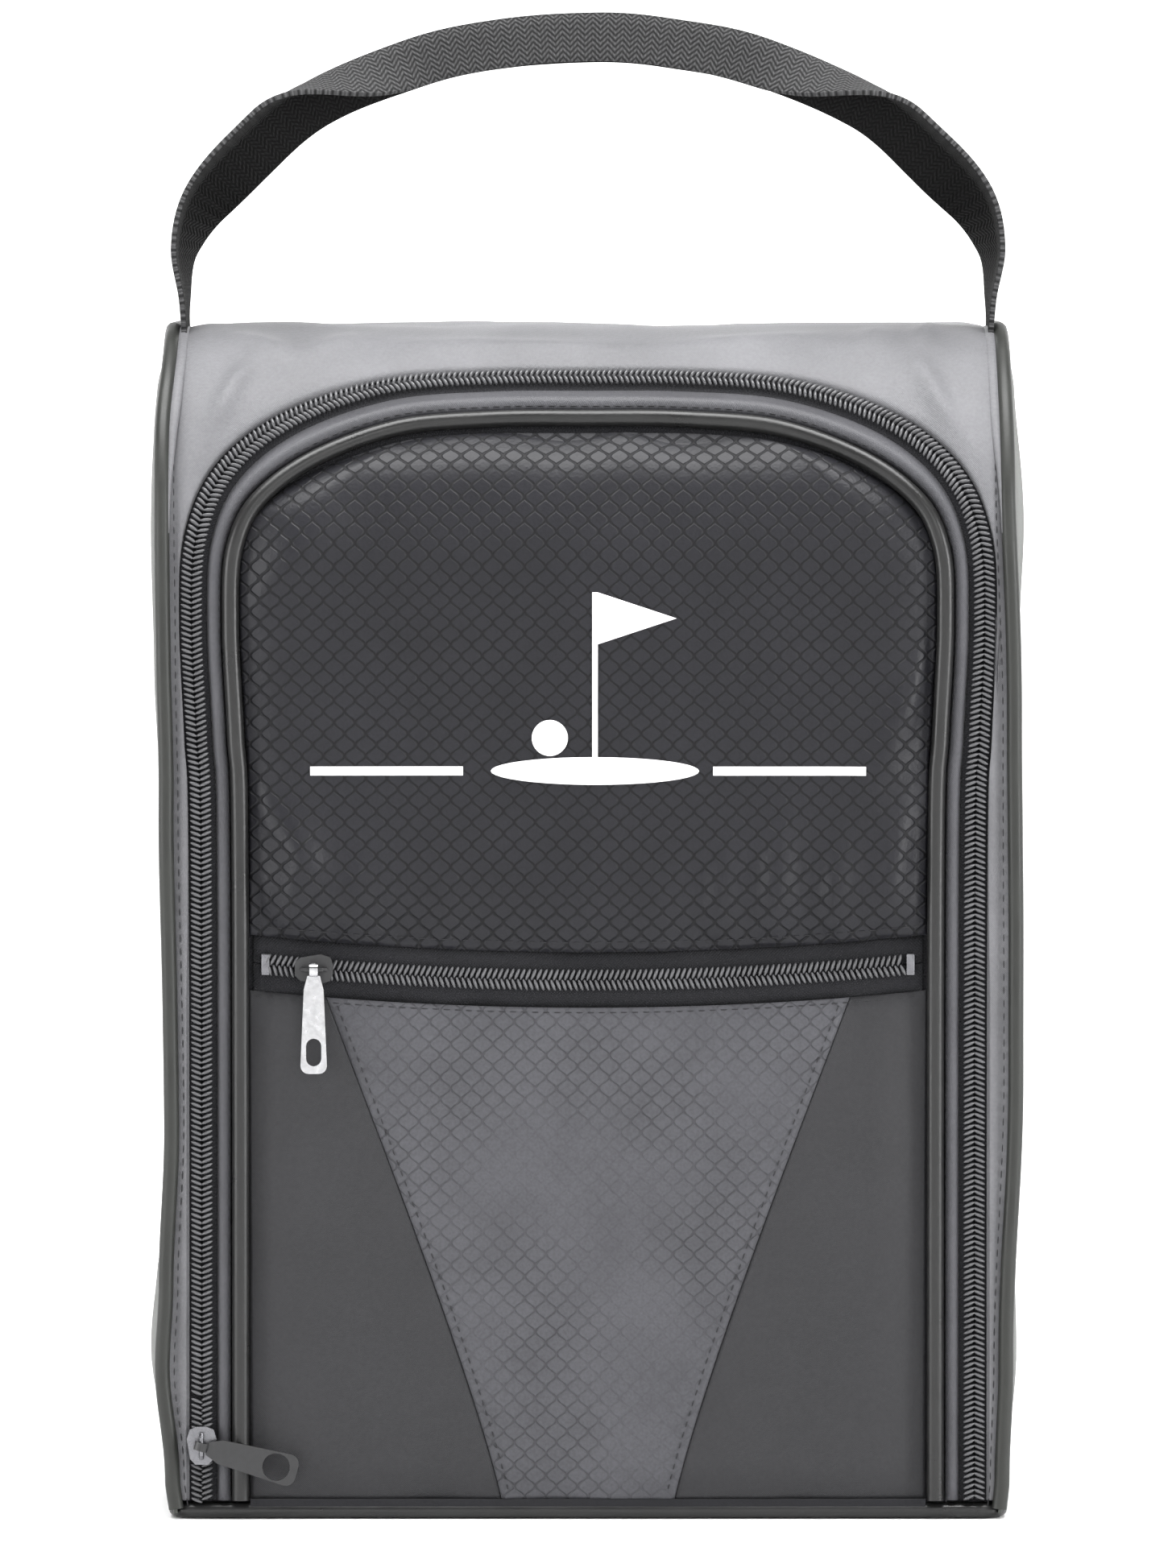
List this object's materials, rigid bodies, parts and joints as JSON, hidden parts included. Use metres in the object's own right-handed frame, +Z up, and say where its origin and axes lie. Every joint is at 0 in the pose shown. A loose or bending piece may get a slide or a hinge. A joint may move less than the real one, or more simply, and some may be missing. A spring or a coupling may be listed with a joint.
{
  "type": "golf shoe bag",
  "caption": "Zipped golf shoe bag with a padded hinged front door, a zipped pocket and a folded webbing carry handle.",
  "frame": {"origin": "middle of the base, on the surface the bag stands on", "axes": "+Z up, the door faces -Y, +X is to the right of a viewer facing the door"},
  "size_m": [0.2508, 0.1403, 0.4365],
  "materials": {
    "top_fabric": "grey smooth woven polyester, softly lit",
    "side_fabric": "mid grey smooth woven polyester",
    "dark_fabric": "dark grey smooth matte polyester",
    "ripstop": "charcoal diamond ripstop with a faint gloss",
    "center_fabric": "mid grey faint diamond ripstop",
    "lining_fabric": "plain dark lining",
    "piping_rubber": "satin black piping",
    "tape_weave": "black woven zip tape",
    "coil_nylon": "dark grey nylon coil",
    "board_plastic": "grey stiffener board",
    "foam": "pale sheet foam",
    "webbing": "charcoal herringbone webbing",
    "gunmetal": "dark plated die casting",
    "black_metal": "satin black paint",
    "nickel": "bright nickel plating"
  },
  "bodies": {
    "shell": {"base_panel": "dark_fabric", "base_board": "board_plastic", "back_panel": "side_fabric", "back_board": "board_plastic", "side_gusset_left": "side_fabric", "side_gusset_right": "side_fabric", "side_piping_left": "piping_rubber", "side_piping_right": "piping_rubber", "front_surround": "top_fabric", "top_panel": "top_fabric", "main_zip_tape_outer": "tape_weave", "main_zip_coil_outer": "coil_nylon", "handle_tail_left": "webbing", "handle_tail_right": "webbing"},
    "door": {"main_zip_end_tape": "tape_weave", "main_zip_end_coil": "coil_nylon", "main_zip_tape_inner": "tape_weave", "main_zip_coil_inner": "coil_nylon", "door_binding": "dark_fabric", "door_piping": "piping_rubber", "door_upper_panel": "ripstop", "upper_padding": "foam", "door_foam": "foam", "door_lining": "lining_fabric", "pocket_panel_left": "dark_fabric", "pocket_panel_center": "center_fabric", "pocket_panel_right": "dark_fabric", "pocket_lining": "lining_fabric", "pocket_zip_tape_upper": "tape_weave", "pocket_zip_tape_lower": "tape_weave", "pocket_zip_coil_upper": "coil_nylon", "pocket_zip_coil_lower": "coil_nylon", "pocket_zip_stop_left": "black_metal", "pocket_zip_stop_right": "black_metal", "door_hinge_tape": "tape_weave"},
    "main_slider": {"main_slider_body": "gunmetal", "main_slider_bridge": "gunmetal"},
    "main_pull": {"main_pull_tab": "black_metal"},
    "pocket_slider": {"pocket_slider_body": "black_metal", "pocket_slider_bridge": "black_metal"},
    "pocket_pull": {"pocket_pull_tab": "nickel"},
    "handle": {"handle_strap": "webbing"}
  },
  "joints": [
    {"name": "door_hinge", "type": "hinge", "parent": "shell", "child": "door", "pos_m": [0, -0.0655, 0.004], "axis": [1, 0, 0], "range_deg": [0, 80]},
    {"name": "handle_hinge", "type": "hinge", "parent": "shell", "child": "handle", "pos_m": [0, 0.005, 0.344], "axis": [1, 0, 0], "range_deg": [-60, 60]},
    {"name": "main_slide", "type": "slide", "parent": "door", "child": "main_slider", "axis": [0, 0, 1], "range_m": [0, 0.15]},
    {"name": "main_pull_swing", "type": "hinge", "parent": "main_slider", "child": "main_pull", "pos_m": [-0.1115, -0.0711, 0.0215], "axis": [0, 0, -1], "range_deg": [0, 150]},
    {"name": "pocket_slide", "type": "hinge", "parent": "door", "child": "pocket_slider", "pos_m": [0, -0.065, 1.106], "axis": [0, -1, 0], "range_deg": [0, 9.6]},
    {"name": "pocket_pull_swing", "type": "hinge", "parent": "pocket_slider", "child": "pocket_pull", "pos_m": [-0.079, -0.0711, 0.15929], "axis": [-1, 0, 0], "range_deg": [0, 160]}
  ]
}
